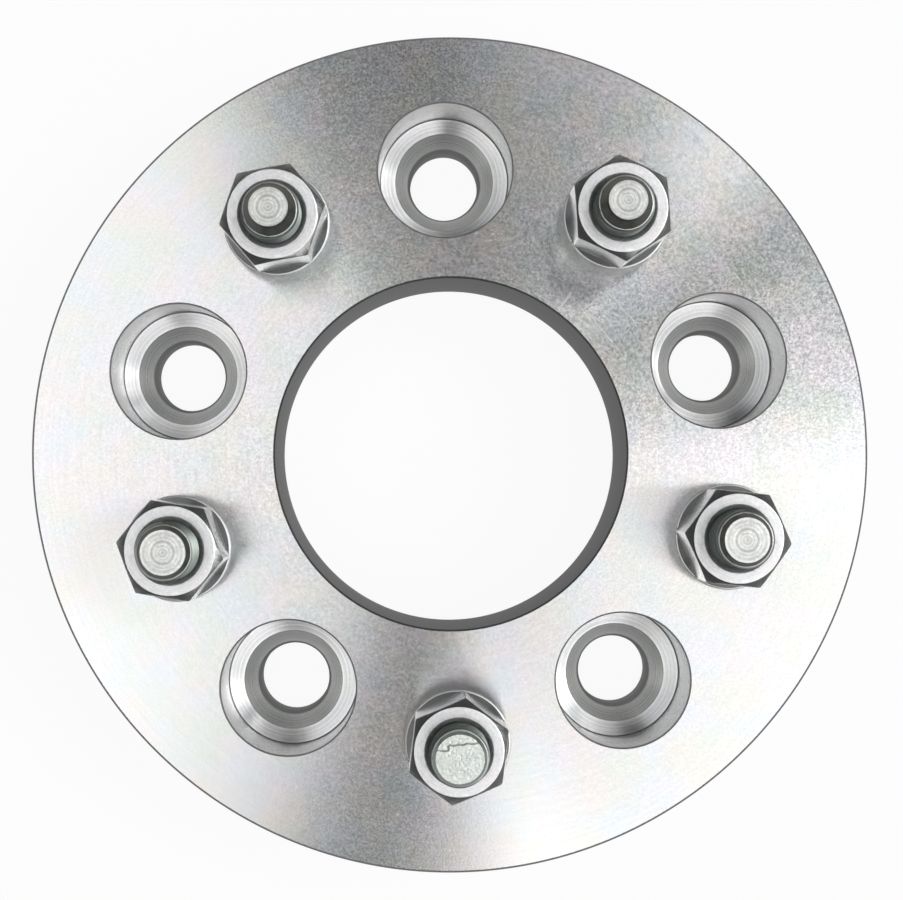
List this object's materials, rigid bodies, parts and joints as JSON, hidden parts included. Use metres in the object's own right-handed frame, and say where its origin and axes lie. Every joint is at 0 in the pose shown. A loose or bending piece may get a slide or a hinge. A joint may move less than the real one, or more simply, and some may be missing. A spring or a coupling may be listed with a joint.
{
  "type": "wheel spacer",
  "caption": "Turned aluminium wheel spacer ring with counterbored lug holes, pressed-in wheel studs and open-ended bulge nuts.",
  "frame": {"origin": "centre of the hub bore on the flat back face, which rests on the hub", "axes": "+Z along the bore axis out through the wheel face and the studs; +X across the picture to the right, +Y up the picture"},
  "size_m": [0.1774, 0.1774, 0.064],
  "materials": {
    "turned_aluminium": "bare aluminium with fine turning marks",
    "stud_steel": "clear zinc-plated steel with turned tips",
    "plated_nut": "bright zinc-plated steel"
  },
  "bodies": {
    "root": {"adapter_body": "turned_aluminium", "wheel_stud_1": "stud_steel", "wheel_stud_2": "stud_steel", "wheel_stud_3": "stud_steel", "wheel_stud_4": "stud_steel", "wheel_stud_5": "stud_steel", "lug_nut_1": "plated_nut", "lug_nut_2": "plated_nut", "lug_nut_3": "plated_nut", "lug_nut_4": "plated_nut", "lug_nut_5": "plated_nut"}
  },
  "joints": []
}
